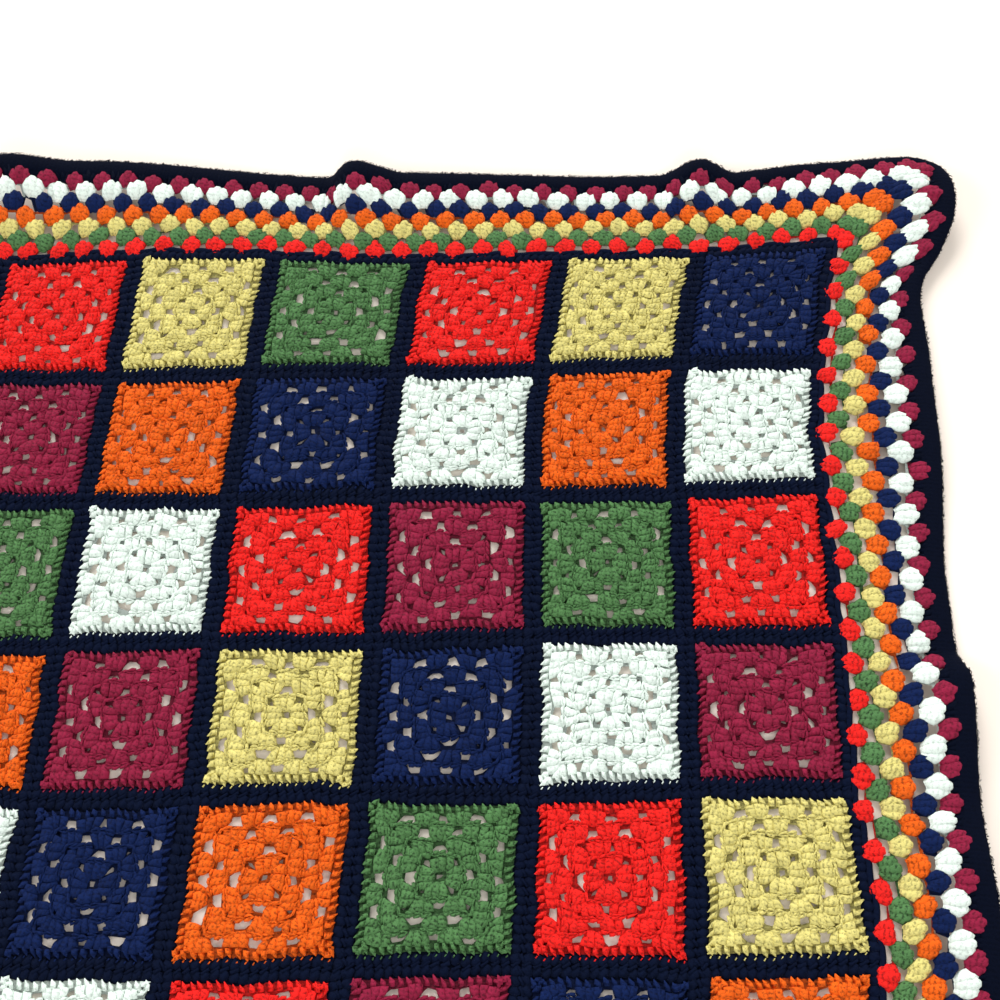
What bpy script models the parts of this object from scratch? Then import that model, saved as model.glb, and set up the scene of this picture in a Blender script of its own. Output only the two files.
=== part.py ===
"""A crocheted granny square blanket, laid out flat, with a ruffled border.

Run it with: blender --background --python part.py, or from Blender's text editor.

The blanket is first laid out on a flat plan, u to the right and v away from the viewer, with the middle
of the patchwork at the origin. lie() then carries each point of the plan to where the cloth really lies.
The three pieces are sheets cut from one grid of plan lines, so that their edges follow each other.
"""

import bpy
import numpy as np

# The patchwork: the width of each column of squares, left to right, and the height of each row, near to far.
COLUMN_WIDTHS = (0.118, 0.116, 0.118, 0.124, 0.121, 0.115, 0.116)
ROW_HEIGHTS = (0.116, 0.119, 0.117, 0.115, 0.118, 0.116, 0.119, 0.115, 0.118)

CLUSTER_ROUNDS = 7
CLUSTER_ROUND_WIDTH = 0.0096
EDGING_WIDTH = 0.014
CLOTH_THICKNESS = 0.004
PIECE_GAP = 0.0003

# How the patchwork lies. Its rows run uphill to the right, and all of it ripples a little.
ROW_SLOPE = 0.054
RIPPLE = 0.0015
RIPPLE_LENGTH = 0.31

# Its far row sags and rises along its length, and leans to the right.
FAR_WAVE = 0.0065
FAR_WAVE_LENGTH = 0.76
FAR_WAVE_CREST = -0.20
FAR_LEAN = 0.018
FAR_ROW_DEPTH = 0.065

# Its right side is drawn in by a shallow waist, placed and measured from the far edge.
WAIST = 0.010
WAIST_PLACE = 0.17
WAIST_REACH = 0.09

# Past the waist the right side swings out again, and comes back before the near corner.
SWING = 0.013
SWING_START = 0.450
SWING_RISE = 0.130
SWING_END = 1.000
SWING_FALL = 0.300

# The border lies stretched along the left and right sides.
LONG_SIDE_STRETCH = 0.02

# The border's corners are drawn in along their diagonal by this much at the outermost point.
CORNER_DRAW = 0.016

# The border is fuller than the patchwork, so it stands up in ruffles. Each rises from `start` to `peak` and
# falls to `end`, measured along its side from the middle. At its peak the outer edge is lifted by `lift`,
# pushed outwards by `push` and leans along the side by `lean`.
#    side     start    peak     end      lift    push    lean
RUFFLES = (
    ("far", -0.350, -0.302, -0.247, 0.009, 0.004, -0.004),
    ("far", -0.350, -0.300, 0.020, 0.013, 0.011, -0.004),
    ("far", -0.026, 0.008, 0.048, 0.010, 0.0055, -0.006),
    ("far", -0.026, 0.012, 0.330, 0.008, 0.000, -0.004),
    ("far", 0.262, 0.305, 0.331, 0.007, 0.012, -0.004),
    ("far", 0.262, 0.310, 0.400, 0.006, -0.008, -0.003),
    ("right", 0.655, 0.563, 0.455, 0.018, 0.018, 0.004),
    ("right", 0.504, 0.475, 0.408, 0.003, -0.0065, 0.000),
    ("right", 0.480, 0.334, 0.213, 0.004, 0.0105, 0.000),
    ("right", 0.160, 0.127, -0.016, 0.013, 0.005, 0.006),
    ("right", 0.058, -0.010, -0.200, 0.014, -0.003, 0.006),
    ("right", -0.230, -0.290, -0.440, 0.012, 0.008, 0.005),
    ("right", -0.480, -0.530, -0.640, 0.011, 0.012, 0.004),
    ("near", -0.470, -0.395, -0.230, 0.014, 0.009, -0.006),
    ("near", -0.145, -0.110, 0.105, 0.019, 0.010, -0.009),
    ("near", 0.150, 0.190, 0.400, 0.015, 0.008, -0.008),
    ("left", 0.560, 0.455, 0.330, 0.014, 0.012, 0.004),
    ("left", 0.235, 0.195, -0.025, 0.017, 0.009, 0.009),
    ("left", -0.060, -0.105, -0.330, 0.013, 0.008, 0.006),
    ("left", -0.395, -0.440, -0.600, 0.018, 0.012, 0.008),
)

HALF_WIDTH = sum(COLUMN_WIDTHS) / 2
HALF_DEPTH = sum(ROW_HEIGHTS) / 2
CLUSTER_BORDER_WIDTH = CLUSTER_ROUNDS * CLUSTER_ROUND_WIDTH
BORDER_WIDTH = CLUSTER_BORDER_WIDTH + EDGING_WIDTH

# Plan lines: cuts across each square, bands across the cluster border, and the least distance between two
# lines.
CUTS_PER_SQUARE = 3
BORDER_BANDS = 4
LEAST_LINE_SPACING = 0.014


def eased(t):
    """A step from 0 to 1 that leaves and arrives level: 3t^2 - 2t^3, held outside 0 to 1."""
    t = np.clip(t, 0, 1)
    return t * t * (3 - 2 * t)


def ruffle_height(along, start, peak, end):
    """1 at the peak, easing down to 0 at the start and at the end, whichever way round they run."""
    rising = eased((along - start) / (peak - start))
    falling = eased((along - end) / (peak - end))
    return np.minimum(rising, falling)


def lie(u, v):
    """Where the cloth's underside lies at plan point u, v: x, y and z.

    The patchwork stays on the ground. In the border each ruffle adds its lift, push and lean, which grow
    from nothing at the patchwork's edge to all of it at the outer edge.
    """
    out = {
        "far": (v - HALF_DEPTH) / BORDER_WIDTH,
        "near": (-v - HALF_DEPTH) / BORDER_WIDTH,
        "right": (u - HALF_WIDTH) / BORDER_WIDTH,
        "left": (-u - HALF_WIDTH) / BORDER_WIDTH,
    }
    x, y, z = u.copy(), v.copy(), np.zeros_like(u)
    for side, start, peak, end, lift, push, lean in RUFFLES:
        along = u if side in ("far", "near") else v
        amount = ruffle_height(along, start, peak, end) * eased(out[side])
        outward = -1 if side in ("near", "left") else 1
        z += lift * amount
        if side in ("far", "near"):
            y += outward * push * amount
            x += lean * amount
        else:
            x += outward * push * amount
            y += lean * amount
    across = np.clip(np.maximum(out["right"], out["left"]), 0, 1)
    away = np.clip(np.maximum(out["far"], out["near"]), 0, 1)
    drawn = CORNER_DRAW * (across * away) ** 2 / np.sqrt(2)
    x -= np.sign(u) * drawn
    y -= np.sign(v) * drawn
    to_right = eased(0.5 + u / (2 * HALF_WIDTH))
    from_far = np.clip(HALF_DEPTH - v, 0, None)
    far_row = np.exp(-from_far / FAR_ROW_DEPTH)
    x += LONG_SIDE_STRETCH * (u - np.clip(u, -HALF_WIDTH, HALF_WIDTH))
    x += to_right * (FAR_LEAN * far_row - WAIST * np.exp(-(((from_far - WAIST_PLACE) / WAIST_REACH) ** 2)))
    swung = eased((from_far - SWING_START) / SWING_RISE) * eased((SWING_END - from_far) / SWING_FALL)
    x += SWING * np.clip(u / HALF_WIDTH, 0, 1) ** 2 * swung
    x += RIPPLE * np.sin(2 * np.pi * v / RIPPLE_LENGTH)
    y += ROW_SLOPE * u + RIPPLE * np.sin(2 * np.pi * (u + v) / RIPPLE_LENGTH)
    y += FAR_WAVE * far_row * np.cos(2 * np.pi * (u - FAR_WAVE_CREST) / FAR_WAVE_LENGTH)
    return x, y, z


def cuts(square_sizes, sides):
    """The plan lines that cut the patchwork one way, between its two edges, in order.

    They run through the start and the peak of each ruffle on the two sides named, and otherwise cut each
    square evenly.
    """
    half = sum(square_sizes) / 2
    edges = np.concatenate([[0], np.cumsum(square_sizes)]) - half
    fractions = np.arange(CUTS_PER_SQUARE) / CUTS_PER_SQUARE
    even = (edges[:-1, None] + np.diff(edges)[:, None] * fractions).ravel()[1:]
    lines = []
    for place in sorted(place for ruffle in RUFFLES if ruffle[0] in sides for place in ruffle[1:3]):
        clear = all(abs(place - line) > LEAST_LINE_SPACING for line in lines)
        if clear and abs(place) < half - LEAST_LINE_SPACING:
            lines.append(place)
    lines += [place for place in even if all(abs(place - line) > LEAST_LINE_SPACING for line in lines)]
    return np.sort(lines)


def framed(inner, half, distances):
    """The lines `inner` with more on both sides of them, at these distances beyond the patchwork's edge."""
    outside = half + np.asarray(distances)
    return np.concatenate([-outside[::-1], inner, outside])


def sheet(name, keep, lines_u, lines_v, colour, roughness):
    """A sheet of even thickness over the plan cells that `keep` picks, as one closed mesh.

    Each kept cell gives two triangles on top and two underneath. A wall closes each cell edge that has no
    kept neighbour.
    """
    grid_u, grid_v = np.meshgrid(lines_u, lines_v, indexing="ij")
    x, y, z = lie(grid_u, grid_v)
    under = np.stack([x, y, z], axis=-1).reshape(-1, 3)
    points = np.concatenate([under, under + (0, 0, CLOTH_THICKNESS)])
    number = np.arange(grid_u.size).reshape(grid_u.shape)
    top_of = grid_u.size
    a, b, c, d = number[:-1, :-1], number[1:, :-1], number[1:, 1:], number[:-1, 1:]

    faces = []
    for first, second, third in ((a, b, c), (a, c, d)):
        corners = np.stack([first[keep], second[keep], third[keep]], axis=1)
        faces += [corners + top_of, corners[:, ::-1]]
    padded = np.pad(keep, 1)
    edges = (
        (a, b, padded[1:-1, :-2]),
        (b, c, padded[2:, 1:-1]),
        (c, d, padded[1:-1, 2:]),
        (d, a, padded[:-2, 1:-1]),
    )
    for start, end, neighbour in edges:
        bare = keep & ~neighbour
        foot, next_foot = start[bare], end[bare]
        faces.append(np.stack([foot, next_foot, next_foot + top_of], axis=1))
        faces.append(np.stack([foot, next_foot + top_of, foot + top_of], axis=1))
    triangles = np.concatenate(faces)
    used, renumbered = np.unique(triangles, return_inverse=True)

    mesh = bpy.data.meshes.new(name)
    mesh.from_pydata(points[used].tolist(), [], renumbered.reshape(-1, 3).tolist())
    mesh.validate()
    piece = bpy.data.objects.new(name, mesh)
    bpy.context.scene.collection.objects.link(piece)
    material = bpy.data.materials.new(name + "_yarn")
    material.use_nodes = True
    shader = material.node_tree.nodes["Principled BSDF"]
    shader.inputs["Base Color"].default_value = (*colour, 1)
    shader.inputs["Roughness"].default_value = roughness
    shader.inputs["Metallic"].default_value = 0
    mesh.materials.append(material)
    return piece


for old in list(bpy.data.objects):
    bpy.data.objects.remove(old, do_unlink=True)

# Each piece has the patchwork's cuts and the lines of its own edges beyond them, half a gap from its
# neighbour's.
inner_u = cuts(COLUMN_WIDTHS, ("far", "near"))
inner_v = cuts(ROW_HEIGHTS, ("left", "right"))
half_gap = PIECE_GAP / 2
bands = np.linspace(half_gap, CLUSTER_BORDER_WIDTH - half_gap, BORDER_BANDS + 1)
edging_lines = np.concatenate([bands[:-1], [CLUSTER_BORDER_WIDTH + half_gap, BORDER_WIDTH]])

#    name             lines beyond the patchwork  its inner edge            colour               roughness
PIECES = (
    ("panel", [-half_gap], -HALF_DEPTH, (0.72, 0.06, 0.03), 0.9),
    ("granny_border", bands, 0, (0.68, 0.60, 0.17), 0.9),
    ("dark_edging", edging_lines, CLUSTER_BORDER_WIDTH, (0.008, 0.012, 0.03), 0.92),
)
built = []
for name, distances, inner_edge, colour, roughness in PIECES:
    lines_u = framed(inner_u, HALF_WIDTH, distances)
    lines_v = framed(inner_v, HALF_DEPTH, distances)
    beyond_u = np.abs((lines_u[1:] + lines_u[:-1]) / 2) - HALF_WIDTH
    beyond_v = np.abs((lines_v[1:] + lines_v[:-1]) / 2) - HALF_DEPTH
    keep = np.maximum(beyond_u[:, None], beyond_v[None, :]) > inner_edge
    built.append(sheet(name, keep, lines_u, lines_v, colour, roughness))

# The origin is the middle of the blanket's box, on the ground.
points = np.array([vertex.co for piece in built for vertex in piece.data.vertices])
middle = (points.min(axis=0) + points.max(axis=0)) / 2
for piece in built:
    piece.location = (-middle[0], -middle[1], 0)
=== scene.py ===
"""A crocheted granny square blanket laid out flat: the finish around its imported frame.

Every stitch is laid out on a flat plan, u to the right, v away and h upwards, in metres, with the middle of
the patchwork at the origin. on_cloth() then carries the plan to where the cloth lies.
"""

import bpy
import numpy as np
from mathutils import Euler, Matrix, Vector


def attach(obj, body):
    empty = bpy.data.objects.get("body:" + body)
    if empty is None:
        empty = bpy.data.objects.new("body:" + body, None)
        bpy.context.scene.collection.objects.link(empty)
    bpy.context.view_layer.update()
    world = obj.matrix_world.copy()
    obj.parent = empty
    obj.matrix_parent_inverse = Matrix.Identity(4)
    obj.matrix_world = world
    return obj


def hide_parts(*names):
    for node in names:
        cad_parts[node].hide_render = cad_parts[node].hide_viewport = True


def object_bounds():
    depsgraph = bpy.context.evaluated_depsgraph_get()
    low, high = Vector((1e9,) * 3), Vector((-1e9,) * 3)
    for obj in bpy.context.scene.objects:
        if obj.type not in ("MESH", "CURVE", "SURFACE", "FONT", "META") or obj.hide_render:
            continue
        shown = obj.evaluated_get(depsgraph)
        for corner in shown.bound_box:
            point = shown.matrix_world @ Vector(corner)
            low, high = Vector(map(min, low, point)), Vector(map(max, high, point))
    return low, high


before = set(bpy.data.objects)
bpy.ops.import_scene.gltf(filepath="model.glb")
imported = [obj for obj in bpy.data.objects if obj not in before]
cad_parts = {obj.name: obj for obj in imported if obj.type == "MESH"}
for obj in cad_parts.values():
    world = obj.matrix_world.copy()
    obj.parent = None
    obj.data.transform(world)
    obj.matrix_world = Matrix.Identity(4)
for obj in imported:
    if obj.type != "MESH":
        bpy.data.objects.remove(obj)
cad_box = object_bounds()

# ---------------------------------------------------------------------------------------------------------
# The patchwork's ground. Sixty-three granny squares, each four rounds of treble clusters with open spaces
# between them. The ground is the web of loops at the middle of the cloth's thickness, with every space of
# the pattern open; the stitches are laid over it further down.

COLUMN_WIDTHS = np.array((0.118, 0.116, 0.118, 0.124, 0.121, 0.115, 0.116))
ROW_HEIGHTS = np.array((0.116, 0.119, 0.117, 0.115, 0.118, 0.116, 0.119, 0.115, 0.118))
HALF_WIDTH = COLUMN_WIDTHS.sum() / 2
HALF_DEPTH = ROW_HEIGHTS.sum() / 2
CLUSTER_ROUNDS = 7
CLUSTER_ROUND_WIDTH = 0.0096
EDGING_WIDTH = 0.014
BORDER_WIDTH = CLUSTER_ROUNDS * CLUSTER_ROUND_WIDTH + EDGING_WIDTH

# How the cloth lies. The rows run uphill to the right and ripple a little. The far row sags, rises and
# leans. The right side has a shallow waist and swings out again past it, and the border's corners are drawn
# in along their diagonal.
ROW_SLOPE = 0.054
RIPPLE = 0.0015
RIPPLE_LENGTH = 0.31
FAR_WAVE = 0.0065
FAR_WAVE_LENGTH = 0.76
FAR_WAVE_CREST = -0.20
FAR_LEAN = 0.018
FAR_ROW_DEPTH = 0.065
WAIST = 0.010
WAIST_PLACE = 0.17
WAIST_REACH = 0.09
SWING = 0.013
SWING_START = 0.450
SWING_RISE = 0.130
SWING_END = 1.000
SWING_FALL = 0.300
LONG_SIDE_STRETCH = 0.02
CORNER_DRAW = 0.016

# The border's ruffles, each measured along its side from the middle, and what it does to the outer edge.
#    side     start    peak     end      lift    push    lean
RUFFLES = (
    ("far", -0.350, -0.302, -0.247, 0.009, 0.004, -0.004),
    ("far", -0.350, -0.300, 0.020, 0.013, 0.011, -0.004),
    ("far", -0.026, 0.008, 0.048, 0.010, 0.0055, -0.006),
    ("far", -0.026, 0.012, 0.330, 0.008, 0.000, -0.004),
    ("far", 0.262, 0.305, 0.331, 0.007, 0.012, -0.004),
    ("far", 0.262, 0.310, 0.400, 0.006, -0.008, -0.003),
    ("right", 0.655, 0.563, 0.455, 0.018, 0.018, 0.004),
    ("right", 0.504, 0.475, 0.408, 0.003, -0.0065, 0.000),
    ("right", 0.480, 0.334, 0.213, 0.004, 0.0105, 0.000),
    ("right", 0.160, 0.127, -0.016, 0.013, 0.005, 0.006),
    ("right", 0.058, -0.010, -0.200, 0.014, -0.003, 0.006),
    ("right", -0.230, -0.290, -0.440, 0.012, 0.008, 0.005),
    ("right", -0.480, -0.530, -0.640, 0.011, 0.012, 0.004),
    ("near", -0.470, -0.395, -0.230, 0.014, 0.009, -0.006),
    ("near", -0.145, -0.110, 0.105, 0.019, 0.010, -0.009),
    ("near", 0.150, 0.190, 0.400, 0.015, 0.008, -0.008),
    ("left", 0.560, 0.455, 0.330, 0.014, 0.012, 0.004),
    ("left", 0.235, 0.195, -0.025, 0.017, 0.009, 0.009),
    ("left", -0.060, -0.105, -0.330, 0.013, 0.008, 0.006),
    ("left", -0.395, -0.440, -0.600, 0.018, 0.012, 0.008),
)


def eased(t):
    """A step from 0 to 1 that leaves and arrives level: 3t^2 - 2t^3, held outside 0 to 1."""
    t = np.clip(t, 0, 1)
    return t * t * (3 - 2 * t)


def lie(u, v):
    """Where the cloth's underside lies at plan points u, v, as in the frame's solids: x, y and z stacked.

    Each ruffle is the lesser of an eased rise and an eased fall along its side, times an eased rise across
    the border, times its lift, push and lean. A corner is drawn in by the square of how far it is across the
    border both ways. The waist dies away as exp(-t^2) and the far row's lean as exp(-t), and the swing is an
    eased rise times an eased fall. Rows slope, ripple as a sine and, on the far side, wave as a cosine.
    """
    out = {
        "far": (v - HALF_DEPTH) / BORDER_WIDTH,
        "near": (-v - HALF_DEPTH) / BORDER_WIDTH,
        "right": (u - HALF_WIDTH) / BORDER_WIDTH,
        "left": (-u - HALF_WIDTH) / BORDER_WIDTH,
    }
    x, y, z = u.copy(), v.copy(), np.zeros_like(u)
    for side, start, peak, end, lift, push, lean in RUFFLES:
        along = u if side in ("far", "near") else v
        rising = eased((along - start) / (peak - start))
        falling = eased((along - end) / (peak - end))
        amount = np.minimum(rising, falling) * eased(out[side])
        outward = -1 if side in ("near", "left") else 1
        z += lift * amount
        if side in ("far", "near"):
            y += outward * push * amount
            x += lean * amount
        else:
            x += outward * push * amount
            y += lean * amount
    across = np.clip(np.maximum(out["right"], out["left"]), 0, 1)
    away = np.clip(np.maximum(out["far"], out["near"]), 0, 1)
    drawn = CORNER_DRAW * (across * away) ** 2 / np.sqrt(2)
    x -= np.sign(u) * drawn
    y -= np.sign(v) * drawn
    to_right = eased(0.5 + u / (2 * HALF_WIDTH))
    from_far = np.clip(HALF_DEPTH - v, 0, None)
    far_row = np.exp(-from_far / FAR_ROW_DEPTH)
    x += LONG_SIDE_STRETCH * (u - np.clip(u, -HALF_WIDTH, HALF_WIDTH))
    x += to_right * (FAR_LEAN * far_row - WAIST * np.exp(-(((from_far - WAIST_PLACE) / WAIST_REACH) ** 2)))
    swung = eased((from_far - SWING_START) / SWING_RISE) * eased((SWING_END - from_far) / SWING_FALL)
    x += SWING * np.clip(u / HALF_WIDTH, 0, 1) ** 2 * swung
    x += RIPPLE * np.sin(2 * np.pi * v / RIPPLE_LENGTH)
    y += ROW_SLOPE * u + RIPPLE * np.sin(2 * np.pi * (u + v) / RIPPLE_LENGTH)
    y += FAR_WAVE * far_row * np.cos(2 * np.pi * (u - FAR_WAVE_CREST) / FAR_WAVE_LENGTH)
    return np.stack([x, y, z], axis=-1)


OUTLINE_POINTS = 2001


def blanket_middle():
    """The middle, in x and y, of the outline that lie() gives the blanket's outer edge."""
    run = np.linspace(-1, 1, OUTLINE_POINTS)
    level = np.ones_like(run)
    half_u = HALF_WIDTH + BORDER_WIDTH
    half_v = HALF_DEPTH + BORDER_WIDTH
    edge_u = half_u * np.concatenate([run, run, level, -level])
    edge_v = half_v * np.concatenate([level, -level, run, run])
    outline = lie(edge_u, edge_v)[:, :2]
    return (outline.min(axis=0) + outline.max(axis=0)) / 2


# The plan's origin in the frame: the blanket's middle comes to the middle of the solids' box.
PLAN_ORIGIN = (np.array(cad_box[0])[:2] + np.array(cad_box[1])[:2]) / 2 - blanket_middle()

# Hand tension: no two stitches pull alike, so the plan drifts a little, in slanting waves. Each has a length
# and a phase for u and for v. The firm edging holds its line, so the drift dies away across the border.
TENSION = 0.0006
TENSION_SLANT = 0.4
TENSION_WAVES = ((0.047, 0.3, 1.1), (0.029, 1.9, 0.2), (0.071, 4.0, 2.6))
NORMAL_STEP = 0.0005


def on_cloth(plan):
    """Plan points (..., 3) of u, v and h on the lying cloth: its surface point plus h times its normal.

    The normal is the cross product of two short steps over the cloth. A height below the cloth's underside
    counts as on it.
    """
    u, v, h = plan[..., 0].copy(), plan[..., 1].copy(), np.maximum(plan[..., 2], 0)
    slant_v = v + TENSION_SLANT * u
    slant_u = u - TENSION_SLANT * v
    drift_u = sum(np.sin(2 * np.pi * slant_v / length + phase) for length, phase, _ in TENSION_WAVES)
    drift_v = sum(np.sin(2 * np.pi * slant_u / length + phase) for length, _, phase in TENSION_WAVES)
    border_share = np.maximum(np.abs(u) - HALF_WIDTH, np.abs(v) - HALF_DEPTH) / BORDER_WIDTH
    u += TENSION * (1 - eased(border_share)) * drift_u
    v += TENSION * (1 - eased(border_share)) * drift_v
    here = lie(u, v)
    normal = np.cross(lie(u + NORMAL_STEP, v) - here, lie(u, v + NORMAL_STEP) - here)
    normal /= np.linalg.norm(normal, axis=-1, keepdims=True)
    placed = here + h[..., None] * normal
    placed[..., :2] += PLAN_ORIGIN
    return placed


def linear(hex_colour):
    """An sRGB hex colour as linear red, green, blue and an alpha of 1."""
    srgb = np.array([int(hex_colour[i : i + 2], 16) for i in (1, 3, 5)]) / 255
    return (*np.where(srgb <= 0.04045, srgb / 12.92, ((srgb + 0.055) / 1.055) ** 2.4).tolist(), 1)


def add_node(tree, kind, settings=(), links=(), values=()):
    """Adds a node, sets its properties and its sockets' values, and links other nodes' outputs into it."""
    node = tree.nodes.new(kind)
    for name, value in dict(settings).items():
        setattr(node, name, value)
    for socket, value in dict(values).items():
        node.inputs[socket].default_value = value
    for socket, output in dict(links).items():
        tree.links.new(output, node.inputs[socket])
    return node


# Double-knitting acrylic: soft spun yarn with a loose twist. It has no gloss of its own. The fine fibres
# that stand off it catch the light, which sheen gives, and close in over the twist, so that what shows is a
# mottle of tufts and pits. That mottle is also painted into the colour: painted shade in the pits and grooves
# of the relief, and a painted highlight on the tufts' tops. The lengths are a ply's full turn, a tuft and a
# bundle of fibres, in metres. The twist's grooves are drawn twice as coarse as they are, so that they show.
PLIES = 2
PLY_LAY = 0.0068
TUFT = 0.0020
FIBRE = 0.0008
FIBRE_SHARE = 0.5
PLY_SHARE = 0.12
# The relief that counts as the bottom of the pits and as the top of a tuft, and how much lighter a tuft's top
# is painted, as a painted highlight.
PIT_RELIEF = 0.48
TUFT_RELIEF = 0.76
PAINTED_TUFT_HIGHLIGHT = 1.06
RELIEF_DEPTH = 0.0018
RELIEF_STRENGTH = 0.62
PIT_SOFTENING = 0.4


def acrylic_yarn(name, hex_colour, sheen, specular, painted_pit_shade):
    """Yarn of one dye: its colour times the stitch's own tone, with painted shade in the grooves and pits,
    down to a share set for each dye, and a painted highlight on the tufts' tops.

    The relief is tufts plus a share of fibres plus a share of the sine of the plies' turn, and a yarn with
    lighter painted pits has a shallower relief.
    """
    material = bpy.data.materials.new(name)
    material.use_nodes = True
    tree = material.node_tree
    shader = tree.nodes["Principled BSDF"]
    shader.inputs["Roughness"].default_value = 0.9
    shader.inputs["Specular IOR Level"].default_value = specular
    shader.inputs["Sheen Weight"].default_value = sheen
    shader.inputs["Sheen Roughness"].default_value = 0.4
    shader.inputs["Sheen Tint"].default_value = linear(hex_colour)
    place = add_node(tree, "ShaderNodeTexCoord")
    tone = add_node(tree, "ShaderNodeAttribute", {"attribute_name": "tone"})
    strand = add_node(tree, "ShaderNodeSeparateXYZ", links={0: place.outputs["UV"]})
    around = add_node(tree, "ShaderNodeMath", {"operation": "MULTIPLY"}, {0: strand.outputs["X"]},
                      {1: 2 * np.pi * PLIES})
    turned = add_node(tree, "ShaderNodeMath", {"operation": "MULTIPLY_ADD"},
                      {0: strand.outputs["Y"], 2: around.outputs[0]}, {1: 2 * np.pi * PLIES / PLY_LAY})
    plies = add_node(tree, "ShaderNodeMath", {"operation": "SINE"}, {0: turned.outputs[0]})
    tufts = add_node(tree, "ShaderNodeTexNoise", links={"Vector": place.outputs["Object"]},
                     values={"Scale": 1 / TUFT, "Detail": 1.0})
    fibres = add_node(tree, "ShaderNodeTexNoise", links={"Vector": place.outputs["Object"]},
                      values={"Scale": 1 / FIBRE, "Detail": 1.0})
    rough = add_node(tree, "ShaderNodeMath", {"operation": "MULTIPLY_ADD"},
                     {0: fibres.outputs["Fac"], 2: tufts.outputs["Fac"]}, {1: FIBRE_SHARE})
    relief = add_node(tree, "ShaderNodeMath", {"operation": "MULTIPLY_ADD"},
                      {0: plies.outputs[0], 2: rough.outputs[0]}, {1: PLY_SHARE})
    # Painted shade in the pits and grooves, and a painted highlight on the tufts' tops.
    painted_pits_and_tufts = add_node(tree, "ShaderNodeMapRange", links={"Value": relief.outputs[0]},
                     values={"From Min": PIT_RELIEF, "From Max": TUFT_RELIEF, "To Min": painted_pit_shade,
                             "To Max": PAINTED_TUFT_HIGHLIGHT})
    shade = add_node(tree, "ShaderNodeMath", {"operation": "MULTIPLY"},
                     {0: tone.outputs["Fac"], 1: painted_pits_and_tufts.outputs["Result"]})
    # The dye's colour darkened by the painted shade and lightened by the painted highlight.
    dye_and_painted_shade = add_node(tree, "ShaderNodeVectorMath", {"operation": "SCALE"}, {"Scale": shade.outputs[0]},
                    {0: linear(hex_colour)[:3]})
    tree.links.new(dye_and_painted_shade.outputs[0], shader.inputs["Base Color"])
    bump = add_node(tree, "ShaderNodeBump", links={"Height": relief.outputs[0]},
                    values={"Strength": RELIEF_STRENGTH - PIT_SOFTENING * painted_pit_shade, "Distance": RELIEF_DEPTH})
    tree.links.new(bump.outputs[0], shader.inputs["Normal"])
    return material


# Each dye's colour, sheen, specular level and how dark its pits are painted, as painted shade. Light travels
# on through pale yarn, so its painted pits are lighter than those of a deep dye.
YARNS = {
    "red": acrylic_yarn("red_acrylic_yarn", "#DB1C17", 0.2, 0.2, 0.4),
    "orange": acrylic_yarn("orange_acrylic_yarn", "#D7590E", 0.2, 0.2, 0.4),
    "yellow": acrylic_yarn("straw_yellow_acrylic_yarn", "#CBC073", 0.2, 0.2, 0.5),
    "green": acrylic_yarn("leaf_green_acrylic_yarn", "#4A7243", 0.25, 0.2, 0.25),
    "navy": acrylic_yarn("navy_acrylic_yarn", "#081A44", 0.12, 0.12, 0.5),
    "burgundy": acrylic_yarn("burgundy_acrylic_yarn", "#811635", 0.2, 0.2, 0.5),
    "white": acrylic_yarn("white_acrylic_yarn", "#D6E2D9", 0.2, 0.2, 0.78),
    "dark": acrylic_yarn("near_black_navy_acrylic_yarn", "#070F24", 0.04, 0.05, 0.8),
}

# The colour of each square, far row first, left to right, by the first letter of its yarn.
SQUARE_CHART = (
    "nrygryn",
    "ybonwow",
    "ogwrbgr",
    "gobynwb",
    "bwnogry",
    "gowrbno",
    "rynwgyb",
    "wgbonrw",
    "nrybogy",
)


def add_piece(name, shape, tone, yarns, yarn_of_face=None):
    """One mesh of a shape carried onto the cloth, riding on the blanket.

    A shape is its plan points (n, 3), its faces as arrays (m, corners), and each array's UV pairs. The tone
    is a number for each point, and yarn_of_face chooses among the yarns.
    """
    plan, faces, pairs = shape
    sizes = np.concatenate([np.full(len(some), some.shape[1]) for some in faces])
    mesh = bpy.data.meshes.new(name)
    mesh.vertices.add(len(plan))
    mesh.vertices.foreach_set("co", on_cloth(plan).astype(np.float32).ravel())
    mesh.loops.add(sizes.sum())
    corners = np.concatenate([some.ravel() for some in faces])
    mesh.loops.foreach_set("vertex_index", corners.astype(np.int32))
    mesh.polygons.add(len(sizes))
    mesh.polygons.foreach_set("loop_start", (np.cumsum(sizes) - sizes).astype(np.int32))
    mesh.polygons.foreach_set("loop_total", sizes.astype(np.int32))
    mesh.polygons.foreach_set("use_smooth", np.ones(len(sizes), bool))
    for yarn in yarns:
        mesh.materials.append(YARNS[yarn])
    if yarn_of_face is not None:
        mesh.polygons.foreach_set("material_index", yarn_of_face.astype(np.int32))
    mesh.update(calc_edges=True)
    strand_map = mesh.uv_layers.new(name="strand")
    turns_and_metres = np.concatenate([some.ravel() for some in pairs])
    strand_map.data.foreach_set("uv", turns_and_metres.astype(np.float32))
    mesh.attributes.new("tone", "FLOAT", "POINT").data.foreach_set("value", tone.astype(np.float32))
    piece = bpy.data.objects.new(name, mesh)
    bpy.context.scene.collection.objects.link(piece)
    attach(piece, "root")
    return piece


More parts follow.
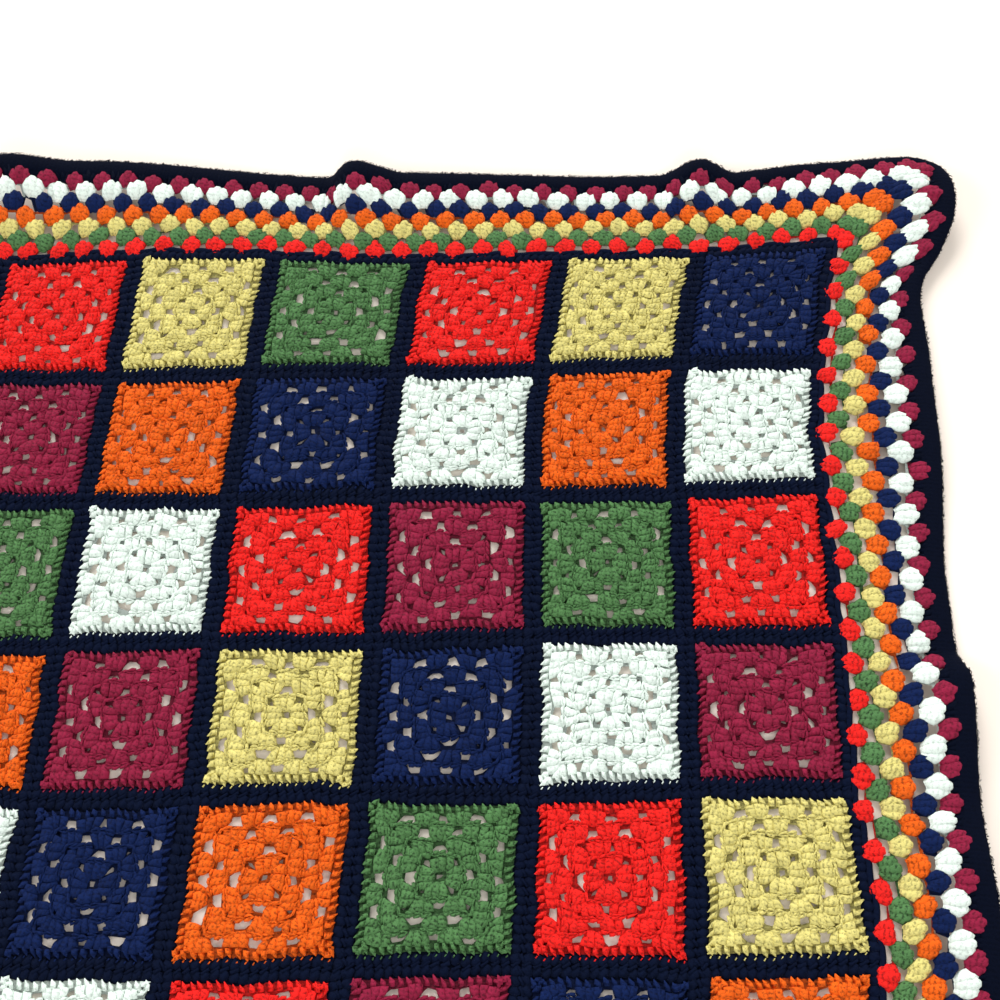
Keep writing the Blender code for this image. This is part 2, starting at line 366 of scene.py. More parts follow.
# A square is worked out at this nominal size and then fitted to its own cell. It starts from a ring with a
# hole in it and grows by rounds, up to the line where its teeth begin.
SQUARE_HALF = 0.052
DARK_HALF = 0.0065
CELL_HALF = SQUARE_HALF + DARK_HALF
TOOTH_LINE = SQUARE_HALF - 0.0015
SQUARE_ROUNDS = 4
CENTRE_RING = 0.0050
HOLE_SHARE = 0.3
ROUND_HEIGHT = 0.0106
ROUND_EDGES = CENTRE_RING + ROUND_HEIGHT * np.arange(SQUARE_ROUNDS + 1)
CLUSTER_SPACING = 0.0234
HEAD_HALF = 0.0090
TOP_BAND = 0.0042
BOTH_WAYS = np.array([-1.0, 1.0])

# The web's height, its tone, which is painted shade standing for the shade the stitches cast on it, and how
# far its loops stray.
WEB_HEIGHT = 0.0018
WEB_PAINTED_SHADE = 0.42
WEB_UNEVEN = 0.0008

# Outward directions of a square's or the border's four sides: far, right, near and left.
OUTWARD = np.array([(0, 1), (1, 0), (0, -1), (-1, 0)])
ALONG = np.stack([OUTWARD[:, 1], -OUTWARD[:, 0]], axis=-1)


def row_of(count, spacing):
    """Places of `count` things side by side at this spacing, about the middle."""
    return (np.arange(count) - (count - 1) / 2) * spacing


def round_of_web(feet, heads, half, low, top, band):
    """Quads (n, 4, 2), in along and out, of one round's web on one side, and the upper stations of its band.

    The round is a row of trapezoids, from feet (n, 2) at `low` to heads (n, 2), under an unbroken band of
    loop tops that ends on the corners' diagonals, half + out from the middle.
    """
    under = top - band
    level = np.ones(len(heads))
    bodies = np.stack([
        np.stack([feet[:, 0], low * level], axis=-1),
        np.stack([feet[:, 1], low * level], axis=-1),
        np.stack([heads[:, 1], under * level], axis=-1),
        np.stack([heads[:, 0], under * level], axis=-1),
    ], axis=1)
    stations = heads.ravel()
    lower = np.concatenate([[-half - under], stations, [half + under]])
    upper = np.concatenate([[-half - top], stations, [half + top]])
    return np.concatenate([bodies, strip_of_web(lower, under, upper, top)]), upper


def strip_of_web(lower, low, upper, top):
    """Quads (n, 4, 2), in along and out, between the stations `lower` at low and `upper` at top."""
    level = np.ones(len(lower) - 1)
    return np.stack([
        np.stack([lower[:-1], low * level], axis=-1),
        np.stack([lower[1:], low * level], axis=-1),
        np.stack([upper[1:], top * level], axis=-1),
        np.stack([upper[:-1], top * level], axis=-1),
    ], axis=1)


def square_web():
    """The web of one side of a nominal square: quads (n, 4, 2) of along and out, and which are dark.

    Trapezoids from the centre ring, round by round, then a strip to the tooth line and a dark one beyond.
    """
    stations = CENTRE_RING * BOTH_WAYS
    parts = [strip_of_web(stations * HOLE_SHARE, CENTRE_RING * HOLE_SHARE, stations, CENTRE_RING)]
    for number in range(1, SQUARE_ROUNDS + 1):
        heads = row_of(number, CLUSTER_SPACING)[:, None] + HEAD_HALF * BOTH_WAYS
        quads, stations = round_of_web(
            stations.reshape(-1, 2), heads, 0, ROUND_EDGES[number - 1], ROUND_EDGES[number], TOP_BAND
        )
        parts.append(quads)
    spread = np.linspace(-1, 1, len(stations))
    parts.append(strip_of_web(stations, ROUND_EDGES[-1], spread * TOOTH_LINE, TOOTH_LINE))
    dark = strip_of_web(spread * TOOTH_LINE, TOOTH_LINE, spread * CELL_HALF, CELL_HALF)
    quads = np.concatenate([*parts, dark])
    return quads, np.arange(len(quads)) >= len(quads) - len(dark)


def cell_middles(sizes):
    """The middles of a run of cells laid end to end about the origin."""
    return np.cumsum(sizes) - sizes / 2 - sizes.sum() / 2


def fit_to_cells(nominal, cells):
    """Nominal points (..., 2) of a square, repeated for each given cell: (cells, ..., 2).

    Inside the coloured square they scale with the cell. Beyond it the dark band keeps its own width.
    """
    rows, columns = np.divmod(cells, len(COLUMN_WIDTHS))
    near_row = len(ROW_HEIGHTS) - 1 - rows
    middle = np.stack([cell_middles(COLUMN_WIDTHS)[columns], cell_middles(ROW_HEIGHTS)[near_row]], axis=-1)
    half = np.stack([COLUMN_WIDTHS[columns], ROW_HEIGHTS[near_row]], axis=-1) / 2
    shape = (len(cells),) + (1,) * (nominal.ndim - 1) + (2,)
    scale = ((half - DARK_HALF) / SQUARE_HALF).reshape(shape)
    inner = np.clip(nominal, -SQUARE_HALF, SQUARE_HALF)
    return middle.reshape(shape) + inner * scale + (nominal - inner)


def on_side(along, out):
    """Along and out as plan points for all four sides of a square: (4, ..., 2)."""
    shape = (4,) + (1,) * along.ndim + (2,)
    return along[..., None] * ALONG.reshape(shape) + out[..., None] * OUTWARD.reshape(shape)


ALL_CELLS = np.arange(len(COLUMN_WIDTHS) * len(ROW_HEIGHTS))
chart = np.array(list("".join(SQUARE_CHART)))
yarn_names = list(YARNS)
yarn_number = {name[0]: number for number, name in enumerate(yarn_names[:-1])}
DARK = yarn_names.index("dark")
side_quads, side_dark = square_web()
web_quads = fit_to_cells(on_side(side_quads[..., 0], side_quads[..., 1]), ALL_CELLS)
square_yarn = np.array([yarn_number[letter] for letter in chart])
web_yarn = np.where(side_dark, DARK, np.broadcast_to(square_yarn[:, None, None], web_quads.shape[:3]))
ground_quads = [web_quads.reshape(-1, 4, 2)]
ground_yarn = [web_yarn.ravel()]

# The border's ground goes on from it: seven rounds of clusters with a space between each two, and two corner
# clusters in each corner, then the dark edging, which is solid.
BORDER_ROUNDS = ("red", "green", "yellow", "orange", "navy", "white", "burgundy")
FIRST_ROUND_CLUSTERS = (37, 40, 37, 40)
CORNER_CLUSTER_IN = 0.0095
BORDER_FOOT_HALF = 0.0060
BORDER_HEAD_HALF = 0.0085
BORDER_BAND = 0.0018
CLUSTER_BORDER = CLUSTER_ROUNDS * CLUSTER_ROUND_WIDTH
EDGING_LINES = (CLUSTER_BORDER + 0.0060, BORDER_WIDTH - 0.0012)

# Each side's half length and how far out from the middle its border starts, in the order of OUTWARD.
SIDE_HALVES = np.array([(HALF_WIDTH, HALF_DEPTH), (HALF_DEPTH, HALF_WIDTH)] * 2)
LINE_POINTS = 601


def border_row(number, side):
    """Places along one side of the clusters of border round `number`, 0 for the first.

    They are even along the round's line as the cloth lies: equal shares of its summed length, found back on
    the plan.
    """
    half, other = SIDE_HALVES[side]
    reach = half + (number + 1) * CLUSTER_ROUND_WIDTH - CORNER_CLUSTER_IN
    line = np.linspace(-reach, reach, LINE_POINTS)
    plan = line[:, None] * ALONG[side] + (other + (number + 0.5) * CLUSTER_ROUND_WIDTH) * OUTWARD[side]
    steps = np.linalg.norm(np.diff(lie(plan[:, 0], plan[:, 1]), axis=0), axis=-1)
    length = np.concatenate([[0], np.cumsum(steps)])
    return np.interp(np.linspace(0, length[-1], FIRST_ROUND_CLUSTERS[side] + number), length, line)


for side, (half, other) in enumerate(SIDE_HALVES):
    parts, yarn_parts = [], []
    for number, yarn in enumerate(BORDER_ROUNDS):
        places = border_row(number, side)[:, None]
        quads, stations = round_of_web(
            places + BORDER_FOOT_HALF * BOTH_WAYS, places + BORDER_HEAD_HALF * BOTH_WAYS,
            half, number * CLUSTER_ROUND_WIDTH, (number + 1) * CLUSTER_ROUND_WIDTH, BORDER_BAND,
        )
        parts.append(quads)
        yarn_parts.append(np.full(len(quads), yarn_names.index(yarn)))
    low = CLUSTER_BORDER
    for top in EDGING_LINES:
        outer = np.linspace(-half - top, half + top, len(stations))
        parts.append(strip_of_web(stations, low, outer, top))
        yarn_parts.append(np.full(len(outer) - 1, DARK))
        stations, low = outer, top
    quads = np.concatenate(parts)
    ground_quads.append(quads[..., :1] * ALONG[side] + (quads[..., 1:] + other) * OUTWARD[side])
    ground_yarn.append(np.concatenate(yarn_parts))

# Corners that fall on the same point of a fine grid are one point of the web. The grid is shifted by a share
# of its step, so that no corner lies midway between two of its lines. All chance in the blanket starts from
# one number and comes out the same each time.
MEETING_STEP = 2e-5
MEETING_SHIFT = 0.3
chance = np.random.default_rng(7)

ground_quads = np.concatenate(ground_quads)
corner_points = ground_quads.reshape(-1, 2)
_, first_use, shared = np.unique(
    np.round(corner_points / MEETING_STEP + MEETING_SHIFT), axis=0, return_index=True, return_inverse=True
)
web_points = corner_points[first_use] + chance.uniform(-WEB_UNEVEN, WEB_UNEVEN, (len(first_use), 2))
ground_plan = np.concatenate([web_points, np.full((len(first_use), 1), WEB_HEIGHT)], axis=-1)
ground_shape = (ground_plan, [shared.reshape(-1, 4)], [ground_quads])
# The whole web is drawn at that darker tone, as painted shade.
ground_painted_shade = np.full(len(ground_plan), WEB_PAINTED_SHADE)
ground = add_piece(
    "ground_web", ground_shape, ground_painted_shade, yarn_names, np.concatenate(ground_yarn)
)
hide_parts("panel", "granny_border", "dark_edging")

# ---------------------------------------------------------------------------------------------------------
# The squares' stitches, in seven colours of double-knitting acrylic. Each cluster is three trebles in one
# space, which fan out, and each treble is topped by a chain link that lies along the round. Chains of two
# turn the corners, and the last round's loops stick out as teeth where the dark yarn is worked into them.

MM = 0.001
CLUSTER_JITTER = 0.0009
STITCH_JITTER = 0.0004
# Where the lie draws the cloth apart, measured over this step, stitches keep their width, and their length
# grows with most of it, as the yarn gives.
STRETCH_STEP = 0.003
SIZE_KEPT = (1.0, 0.4)
# Spun yarn is lumpy by this share of a strand's radius, and no two stitches take the light quite alike.
LUMPS = 0.13
TONE_SPREAD = 0.05


def strands(paths, radii, sides, flatness=1.0, lumps=0.0):
    """Closed tubes along paths (n, k, 3), with radii that fit (n, k), as a shape.

    A ring's point is the path's point plus radius times (across cos a + flatness up sin a), and each is moved
    in or out at random by the share `lumps`. Across is square to the path and level, and up is square to
    both. UV is the turn round the strand and metres along it.
    """
    tangent = np.gradient(paths, axis=1)
    tangent /= np.linalg.norm(tangent, axis=-1, keepdims=True)
    across = np.cross(np.array([0.0, 0.0, 1.0]), tangent)
    across /= np.linalg.norm(across, axis=-1, keepdims=True)
    up = np.cross(tangent, across)
    angle = 2 * np.pi * np.arange(sides)[:, None] / sides
    ring = across[:, :, None] * np.cos(angle) + flatness * up[:, :, None] * np.sin(angle)
    ring = ring * (1 + chance.normal(0, lumps, (*paths.shape[:2], sides, 1)))
    radii = np.broadcast_to(radii, paths.shape[:2])
    points = (paths[:, :, None] + radii[..., None, None] * ring).reshape(-1, 3)
    number = np.arange(len(points)).reshape(len(paths), -1, sides)
    after = np.roll(number, -1, axis=2)
    walls = np.stack([number[:, :-1], after[:, :-1], after[:, 1:], number[:, 1:]], axis=-1)
    ends = np.concatenate([number[:, 0, ::-1], number[:, -1]])
    steps = np.linalg.norm(np.diff(paths, axis=1), axis=-1)
    metres = np.concatenate([np.zeros((len(paths), 1)), np.cumsum(steps, axis=1)], axis=1)[..., None]
    turn = np.broadcast_to(np.arange(sides) / sides, walls.shape[:3])
    low = np.broadcast_to(metres[:, :-1], turn.shape)
    top = np.broadcast_to(metres[:, 1:], turn.shape)
    next_turn = turn + 1 / sides
    wall_uv = np.stack([turn, low, next_turn, low, next_turn, top, turn, top], axis=-1).reshape(-1, 4, 2)
    return points, [walls.reshape(-1, 4), ends], [wall_uv, np.zeros((*ends.shape, 2))]


def together(shapes):
    """Several shapes as one, each one's point numbers moved up past the last one's."""
    starts = np.cumsum([0] + [len(points) for points, faces, pairs in shapes[:-1]])
    faces = [some + start for start, (_, parts, _) in zip(starts, shapes) for some in parts]
    pairs = [some for _, _, parts in shapes for some in parts]
    return np.concatenate([points for points, _, _ in shapes]), faces, pairs


def stitches(middles, outward, local, radii, sides, jitter=None, flatness=1.0):
    """Strands laid at sites: paths (m, k, 3) of along, out and h, in millimetres, at each of n middles.

    A path's plan point is the middle plus along and out in the site's own directions, each divided by a power
    of how far the lie draws the cloth that way, as SIZE_KEPT says. Every stitch is moved a little at random,
    and with `jitter`, each whole site by its own pair.
    """
    local = np.broadcast_to(local * MM, (len(middles), *local.shape[-3:])).copy()
    along = np.stack([outward[:, 1], -outward[:, 0]], axis=-1)
    for axis, heading in enumerate((along, outward)):
        ahead, behind = middles + heading * STRETCH_STEP, middles - heading * STRETCH_STEP
        drawn = lie(ahead[:, 0], ahead[:, 1]) - lie(behind[:, 0], behind[:, 1])
        stretch = np.linalg.norm(drawn, axis=-1) / (2 * STRETCH_STEP)
        local[..., axis] /= (stretch ** SIZE_KEPT[axis])[:, None, None]
    plan = local[..., :1] * along[:, None, None] + local[..., 1:2] * outward[:, None, None]
    plan = plan + middles[:, None, None] + chance.normal(0, STITCH_JITTER, (*local.shape[:2], 1, 2))
    if jitter is not None:
        plan += jitter[:, None, None]
    paths = np.concatenate([plan, local[..., 2:]], axis=-1).reshape(-1, *local.shape[-2:])
    radii = np.tile(np.broadcast_to(radii, local.shape[1:3]) * MM, (len(middles), 1))
    return strands(paths, radii, sides, flatness, LUMPS)


def tone_of(shape):
    """A tone for each point of some strands, near 1 and the same all over each strand, which has two ends."""
    points, (_, ends), _ = shape
    count = len(ends) // 2
    return np.repeat(1 + chance.normal(0, TONE_SPREAD, count), len(points) // count)


# A cluster's outer treble, in millimetres: how far along, how far out, the height and the radius, from foot
# to head. The middle treble has the same figures with no distance along. A link is a teardrop of yarn.
SQUARE_POST = np.array([(3.0, -1.4, 1.7, 2.5), (5.0, 4.2, 2.1, 3.6), (5.6, 9.0, 2.2, 3.8)])
POST_SIDES = 5
POST_FLATNESS = 0.65
LINK = np.array([(3.3, 0.9, 2.4), (0.5, 1.2, 3.2), (-2.9, 0.1, 2.8), (0.5, -1.5, 3.2), (3.3, -1.3, 2.4)])
LINK_RADIUS = 1.5
LINK_SIDES = 4
LINK_LEAN = 1.2
TREBLES = np.array([-1.0, 0.0, 1.0])[:, None]

# How far the outer heads fall short of the middle one, and how far it stands above them, in millimetres.
FAN_ARCH = 0.5
FAN_CROWN = 0.2

# The white yarn is a little thicker than the others.
FULLNESS = {"white": 1.1}


def treble_clusters(middles, outward, post, arch, crown, link_out=None, sides=POST_SIDES):
    """A shape and its tones: a treble cluster at each middle, and chain links on it where link_out is given.

    Posts are at -1, 0 and 1 times the post's along. The outer ones reach less far out by `arch` at their
    heads, and the middle one stands `crown` higher. Links lie `link_out` out and lean to follow the arch.
    """
    jitter = chance.normal(0, CLUSTER_JITTER, middles.shape)
    fall = arch * TREBLES**2
    raised = crown * (1 - TREBLES**2)
    reach = np.clip(post[:, 1] / post[-1, 1], 0, 1)
    paths = np.stack([
        TREBLES * post[:, 0],
        post[:, 1] - fall * reach,
        post[:, 2] + raised * np.sqrt(reach),
    ], axis=-1)
    posts = stitches(middles, outward, paths, post[:, 3], sides, jitter, POST_FLATNESS)
    shapes = [posts]
    tones = [tone_of(posts)]
    if link_out is not None:
        lean = -LINK_LEAN * arch / post[-1, 0] * TREBLES
        paths = np.stack([
            TREBLES * post[-1, 0] + LINK[:, 0],
            link_out + LINK[:, 1] - fall + lean * LINK[:, 0],
            LINK[:, 2] + raised,
        ], axis=-1)
        links = stitches(middles, outward, paths, LINK_RADIUS, LINK_SIDES, jitter)
        shapes.append(links)
        tones.append(tone_of(links))
    return together(shapes), np.concatenate(tones)


# The teeth and the tips that show again through the dark yarn, in millimetres.
TEETH_PER_SIDE = 18
TOOTH_SPACING = 0.0058
TOOTH = np.array([[(1.4, -2.2, 2.0), (0.9, 0.8, 2.7), (-1.4, 4.1, 2.8)]])
TOOTH_RADII = np.array([2.9, 2.6, 0.35])
TOOTH_TIP = np.array([[(-0.2, 4.6, 3.4), (0.9, 6.2, 3.2)]])
TOOTH_TIP_RADIUS = 0.55
TOOTH_SIDES = 3

# The chains that turn the corners, in millimetres: each starts this far under the last cluster's head, keeps
# this far inside the corner at its middle, and has these heights at its ends and its middle.
CHAIN_RADIUS = 1.35
CHAIN_SIDES = 4
CHAIN_UNDER = 1.0
CHAIN_INSIDE = 1.2
CHAIN_END = 2.8
CHAIN_CREST = 3.2


def sites_on_square(places, out, cells):
    """Middles and outward directions of sites at these places on all four sides, in all of these cells."""
    middles = fit_to_cells(on_side(places, np.full(len(places), out)), cells).reshape(-1, 2)
    outward = np.tile(np.repeat(OUTWARD, len(places), axis=0), (len(cells), 1))
    return middles, outward.astype(float)


for letter, number in yarn_number.items():
    name = yarn_names[number]
    cells = ALL_CELLS[chart == letter]
    post = SQUARE_POST * (FULLNESS.get(name, 1), 1, 1, 1)
    shapes, tones = [], []
    for level in range(1, SQUARE_ROUNDS + 1):
        middles, outward = sites_on_square(row_of(level, CLUSTER_SPACING), ROUND_EDGES[level - 1], cells)
        link_out = ROUND_HEIGHT / MM if level < SQUARE_ROUNDS else None
        clusters, tone = treble_clusters(middles, outward, post, FAN_ARCH, FAN_CROWN, link_out)
        shapes.append(clusters)
        tones.append(tone)
        edge = ROUND_EDGES[level] / MM
        start = ((level - 1) * CLUSTER_SPACING / 2 + HEAD_HALF) / MM - CHAIN_UNDER
        turn = edge - CHAIN_INSIDE
        chain = np.array([[(start, edge, CHAIN_END), (turn, turn, CHAIN_CREST), (edge, start, CHAIN_END)]])
        middles, outward = sites_on_square(np.zeros(1), 0.0, cells)
        chains = stitches(middles, outward, chain, CHAIN_RADIUS, CHAIN_SIDES)
        shapes.append(chains)
        tones.append(tone_of(chains))
    middles, outward = sites_on_square(row_of(TEETH_PER_SIDE, TOOTH_SPACING), ROUND_EDGES[-1], cells)
    teeth = stitches(middles, outward, TOOTH, TOOTH_RADII, TOOTH_SIDES)
    near = np.all(outward == OUTWARD[2], axis=-1)
    tips = stitches(middles[near], outward[near], TOOTH_TIP, TOOTH_TIP_RADIUS, TOOTH_SIDES)
    shapes.extend([teeth, tips])
    tones.extend([tone_of(teeth), tone_of(tips)])
    squares = add_piece(f"{name}_squares", together(shapes), np.concatenate(tones), [name])
    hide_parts("panel")

# ---------------------------------------------------------------------------------------------------------
# The joining, in near-black navy yarn. A round of double crochet frames each square, worked into its teeth,
# and the framed squares are sewn edge to edge with a slanting whip stitch.

# Both have this many stitches to a side. A stitch's path and radii are in millimetres.
DARK_STITCHES = 18
DARK_SPACING = 0.0064
DARK_SIDES = 4
FRAME_OUT = SQUARE_HALF - 0.0006
FRAME_STITCH = np.array([[(-1.6, -0.2, 1.6), (0.2, 3.1, 2.2), (1.8, 6.6, 1.8)]])
FRAME_RADII = np.array([3.0, 3.8, 3.6])
FRAME_FLATNESS = 0.4
WHIP = np.array([[(-2.6, -1.6, 2.5), (2.6, 1.6, 2.5)]])
WHIP_RADIUS = 1.3

# A last round of close stitches goes round the whole patchwork, and closes up into a smooth cord.
CORD_STEP = 0.005
CORD_UNEVEN = 0.02
PATCHWORK_CORD_OUT = 0.0012
PATCHWORK_CORD_CORNER = 0.004
PATCHWORK_CORD_RADIUS = 2.4
PATCHWORK_CORD_RISE = 2.0
PATCHWORK_CORD_SIDES = 5
PATCHWORK_CORD_FLATNESS = 0.7


def line_round(out, corner_radius):
    """Plan points (1, n, 2) round the blanket at `out` beyond the patchwork, evenly spaced.

    Four quarter circles, clockwise from the far right one, joined by straight runs and divided by length.
    """
    angle = np.radians(90 - np.arange(0, 91, 10))
    turns = np.radians(-90 * np.arange(4))[:, None]
    arc = np.stack([np.cos(angle + turns), np.sin(angle + turns)], axis=-1) * corner_radius
    corner = np.array([(1, 1), (1, -1), (-1, -1), (-1, 1)])
    centre = corner * (np.array([HALF_WIDTH, HALF_DEPTH]) + out - corner_radius)
    line = (arc + centre[:, None]).reshape(-1, 2)
    line = np.concatenate([line, line[:1]])
    length = np.concatenate([[0], np.cumsum(np.linalg.norm(np.diff(line, axis=0), axis=-1))])
    even = np.linspace(0, length[-1], int(length[-1] / CORD_STEP))
    spaced = [np.interp(even, length, line[:, axis]) for axis in (0, 1)]
    return np.stack(spaced, axis=-1)[None]


def cord_round(out, corner_radius, radius, rise, sides, flatness):
    """A round of close stitches as one cord at `out`, and its tone, which is 1.

    Its radius, which varies a little at random, and its height `rise` are in millimetres.
    """
    line = line_round(out, corner_radius)
    path = np.concatenate([line, np.full((*line.shape[:2], 1), rise * MM)], axis=-1)
    cord = strands(path, radius * MM * (1 + chance.normal(0, CORD_UNEVEN, line.shape[:2])), sides, flatness)
    return cord, np.ones(len(cord[0]))


dark_row = row_of(DARK_STITCHES, DARK_SPACING)
middles, outward = sites_on_square(dark_row, FRAME_OUT, ALL_CELLS)
frame_round = stitches(middles, outward, FRAME_STITCH, FRAME_RADII, DARK_SIDES, flatness=FRAME_FLATNESS)
shapes, tones = [frame_round], [tone_of(frame_round)]
# A square is sewn along its far side and its right side, where it has a neighbour there.
far_neighbour = ALL_CELLS >= len(COLUMN_WIDTHS)
right_neighbour = ALL_CELLS % len(COLUMN_WIDTHS) < len(COLUMN_WIDTHS) - 1
for side, sewn in enumerate((far_neighbour, right_neighbour)):
    middles, outward = sites_on_square(dark_row, CELL_HALF, ALL_CELLS[sewn])
    on_this_side = np.all(outward == OUTWARD[side], axis=-1)
    whips = stitches(middles[on_this_side], outward[on_this_side], WHIP, WHIP_RADIUS, DARK_SIDES)
    shapes.append(whips)
    tones.append(tone_of(whips))
patchwork_cord, tone = cord_round(
    PATCHWORK_CORD_OUT, PATCHWORK_CORD_CORNER, PATCHWORK_CORD_RADIUS, PATCHWORK_CORD_RISE,
    PATCHWORK_CORD_SIDES, PATCHWORK_CORD_FLATNESS,
)
shapes.append(patchwork_cord)
tones.append(tone)
joining = add_piece("dark_joining", together(shapes), np.concatenate(tones), ["dark"])
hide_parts("panel")

# ---------------------------------------------------------------------------------------------------------
# The granny border: seven rounds of treble clusters, each round in its own colour and each cluster worked
# into the space between two of the round before, so that they stand as staggered rounded petals.

PETAL_POST = np.array([
    (2.0, -1.4, 1.2, 2.3),
    (3.7, 2.8, 2.1, 3.7),
    (4.3, 7.2, 2.5, 4.3),
    (3.9, 11.4, 2.3, 3.9),
    (3.0, 13.8, 1.6, 2.4),
])
PETAL_ARCH = 1.6
PETAL_CROWN = 1.0
PETAL_SIDES = 6
# This near a corner, the rounds have more to cover, and clusters are fuller by this share for each round out.
CORNER_REACH = 0.085
CORNER_FULLNESS = 0.035


def sites_on_border(number):
    """Middles and outward directions of border round `number`'s clusters, on its inner line."""
    out = number * CLUSTER_ROUND_WIDTH
    middles, outward = [], []
    for side, start in enumerate(SIDE_HALVES[:, 1]):
        places = border_row(number, side)[:, None]
        middles.append(places * ALONG[side] + (start + out) * OUTWARD[side])
        outward.append(np.repeat(OUTWARD[side][None].astype(float), len(places), axis=0))
    return np.concatenate(middles), np.concatenate(outward)


for number, name in enumerate(BORDER_ROUNDS):
    middles, outward = sites_on_border(number)
    post = PETAL_POST * FULLNESS.get(name, 1)
    corner = np.array([HALF_WIDTH, HALF_DEPTH]) + number * CLUSTER_ROUND_WIDTH
    at_corner = np.linalg.norm(corner - np.abs(middles), axis=-1) < CORNER_REACH
    shapes, tones = [], []
    for chosen, full in ((~at_corner, 1.0), (at_corner, 1 + CORNER_FULLNESS * number)):
        petals, tone = treble_clusters(
            middles[chosen], outward[chosen], post * full, PETAL_ARCH, PETAL_CROWN, sides=PETAL_SIDES
        )
        shapes.append(petals)
        tones.append(tone)
    border = add_piece(f"{name}_border_round", together(shapes), np.concatenate(tones), [name])
    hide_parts("granny_border")

# ---------------------------------------------------------------------------------------------------------
# The edging, in the dark yarn. Clusters fill the spaces of the last round, and rounds of close double crochet
# worked all round make the firm, softly hairy edge. Their stitches close up into one broad flat band.

EDGE_POST = np.array([(1.8, -6.5, 1.0, 2.3), (3.9, -1.5, 1.6, 3.4), (5.4, 5.0, 2.0, 3.8)])
EDGE_BAND_IN = 0.0072
EDGE_BAND_HALF = 7.6
EDGE_BAND_RISE = 2.3
EDGE_BAND_SIDES = 12
EDGE_BAND_FLATNESS = 0.34
EDGE_CORNER_RADIUS = 0.012
# The edging's stitches take half the tone of the joining's, so the same dark yarn is drawn darker here.
EDGE_TONE = 0.5

middles, outward = sites_on_border(CLUSTER_ROUNDS)
edge_clusters, tone = treble_clusters(middles, outward, EDGE_POST, FAN_ARCH, FAN_CROWN)
shapes, tones = [edge_clusters], [tone]
edge_band, tone = cord_round(
    BORDER_WIDTH - EDGE_BAND_IN, EDGE_CORNER_RADIUS, EDGE_BAND_HALF, EDGE_BAND_RISE,
    EDGE_BAND_SIDES, EDGE_BAND_FLATNESS,
)
shapes.append(edge_band)
tones.append(tone)

# Loose fibres along the outer edge, in millimetres. They are few and coarser than the real ones, so that
# they show at all. Each leaves the band's edge at some height, rises a little and leans either way.
FIBRES = 9000
FIBRE_REACH = (0.3, 1.7)
FIBRE_HEIGHT = (1.3, 3.3)
FIBRE_RISE = 0.4
FIBRE_LEAN = 1.6
FIBRE_RADII = np.array([0.42, 0.1])
FIBRE_SIDES = 3
along_edge = line_round(BORDER_WIDTH, EDGE_CORNER_RADIUS + EDGE_BAND_IN)[0]
heading = np.gradient(along_edge, axis=0)
heading /= np.linalg.norm(heading, axis=-1, keepdims=True)
picked = chance.integers(0, len(along_edge), FIBRES)
fibre_out = np.stack([-heading[:, 1], heading[:, 0]], axis=-1)[picked]
fibre_roots = along_edge[picked] + heading[picked] * chance.uniform(-0.5, 0.5, (FIBRES, 1)) * CORD_STEP
fibre_path = np.zeros((FIBRES, 1, 2, 3))
fibre_path[:, 0, 1, 1] = chance.uniform(*FIBRE_REACH, FIBRES)
fibre_path[:, 0, :, 2] = chance.uniform(*FIBRE_HEIGHT, (FIBRES, 1)) + np.array([0, FIBRE_RISE])
fibre_path[:, 0, 1, 0] = chance.normal(0, FIBRE_LEAN, FIBRES)
fibres = stitches(fibre_roots, fibre_out, fibre_path, FIBRE_RADII, FIBRE_SIDES)
shapes.append(fibres)
tones.append(np.ones(len(fibres[0])))
edge_tone = EDGE_TONE * np.concatenate(tones)
edging = add_piece("dark_edging_rounds", together(shapes), edge_tone, ["dark"])
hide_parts("dark_edging")

# ---------------------------------------------------------------------------------------------------------
# The studio: a plain pale floor that reaches far past the blanket, an even white surround, four broad soft
# lights and the camera.

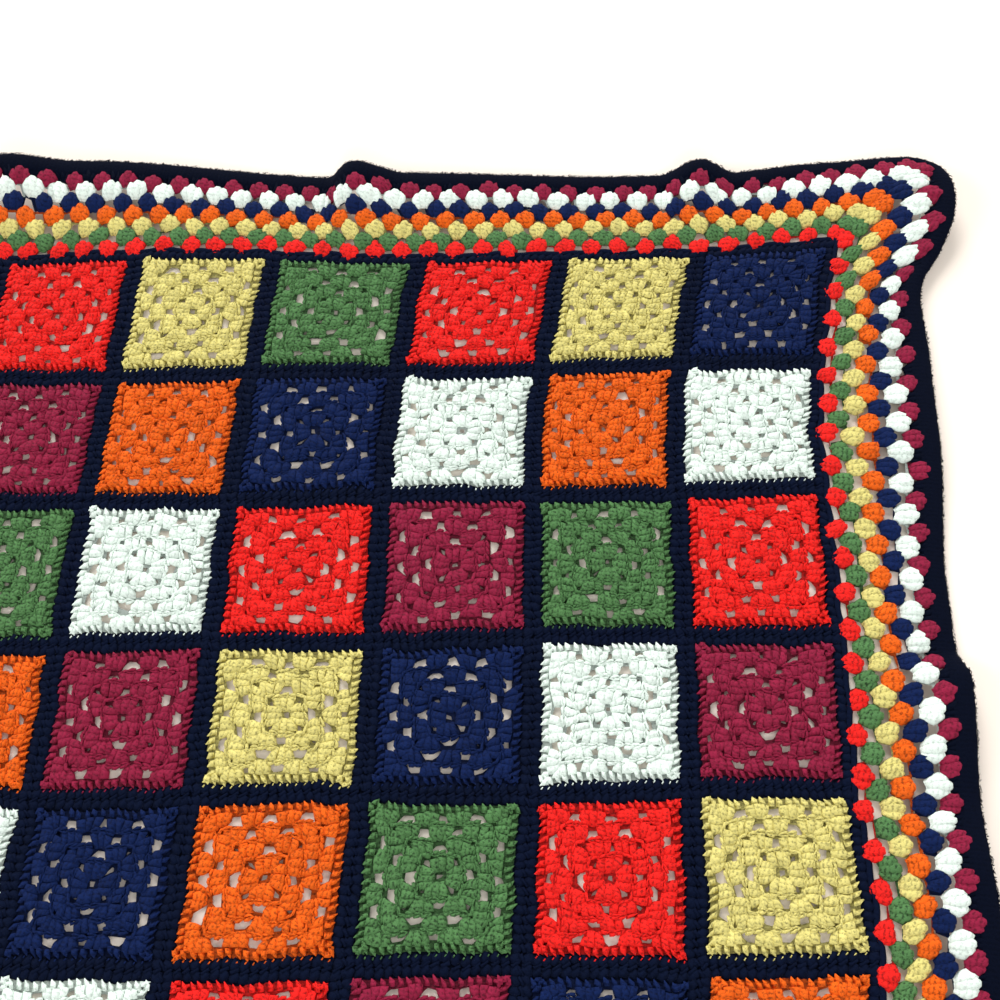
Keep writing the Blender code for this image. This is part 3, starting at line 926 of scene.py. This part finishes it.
FLOOR_HALF = 25
floor_corners = [(-FLOOR_HALF, -FLOOR_HALF, 0), (FLOOR_HALF, -FLOOR_HALF, 0),
                 (FLOOR_HALF, FLOOR_HALF, 0), (-FLOOR_HALF, FLOOR_HALF, 0)]
floor_mesh = bpy.data.meshes.new("floor")
floor_mesh.from_pydata(floor_corners, [], [(0, 1, 2, 3)])
floor = bpy.data.objects.new("floor", floor_mesh)
bpy.context.scene.collection.objects.link(floor)

# Uncoated pale card, pressed smooth: matt, and a little warm, which shows through the blanket's spaces.
pale_card = bpy.data.materials.new("pale_card")
pale_card.use_nodes = True
card_shader = pale_card.node_tree.nodes["Principled BSDF"]
card_shader.inputs["Base Color"].default_value = linear("#F2E6D9")
card_shader.inputs["Roughness"].default_value = 0.8
floor_mesh.materials.append(pale_card)

world = bpy.data.worlds.new("pale_surround")
world.use_nodes = True
surround = world.node_tree.nodes["Background"]
surround.inputs["Color"].default_value = linear("#FFFFFF")
surround.inputs["Strength"].default_value = 0.48
bpy.context.scene.world = world

# The lights stand low round the floor, the strongest on the far side, so that the yarn shades the spaces
# between its stitches. Each is turned about the vertical by `bearing`, in degrees from the far side.
LIGHT_TILT = 64
LIGHT_SPREAD = 30
#    name            bearing  strength
LIGHTS = (
    ("far_light", 14, 3.3),
    ("left_light", 100, 1.5),
    ("near_light", 190, 1.3),
    ("right_light", 280, 1.4),
)
for name, bearing, strength in LIGHTS:
    light = bpy.data.lights.new(name, "SUN")
    light.energy = strength
    light.angle = np.radians(LIGHT_SPREAD)
    lamp = bpy.data.objects.new(name, light)
    lamp.rotation_euler = Euler(np.radians((-LIGHT_TILT, 0, bearing)), "XYZ")
    bpy.context.scene.collection.objects.link(lamp)

# The camera stands over the right half of the patchwork and looks down and away over its far right part.
CAMERA_PLAN_PLACE = (0.20337, -0.09914, 0.91030)
CAMERA_TURN = (23.66, 2.0, 2.81)
camera_data = bpy.data.cameras.new("camera")
camera_data.lens = 45
camera_data.sensor_width = 36
camera_data.clip_start = 0.02
camera = bpy.data.objects.new("camera", camera_data)
camera.location = np.array(CAMERA_PLAN_PLACE) + np.append(PLAN_ORIGIN, 0)
camera.rotation_euler = Euler(np.radians(CAMERA_TURN), "XYZ")
bpy.context.scene.collection.objects.link(camera)
bpy.context.scene.camera = camera
bpy.context.scene.view_settings.view_transform = "Standard"
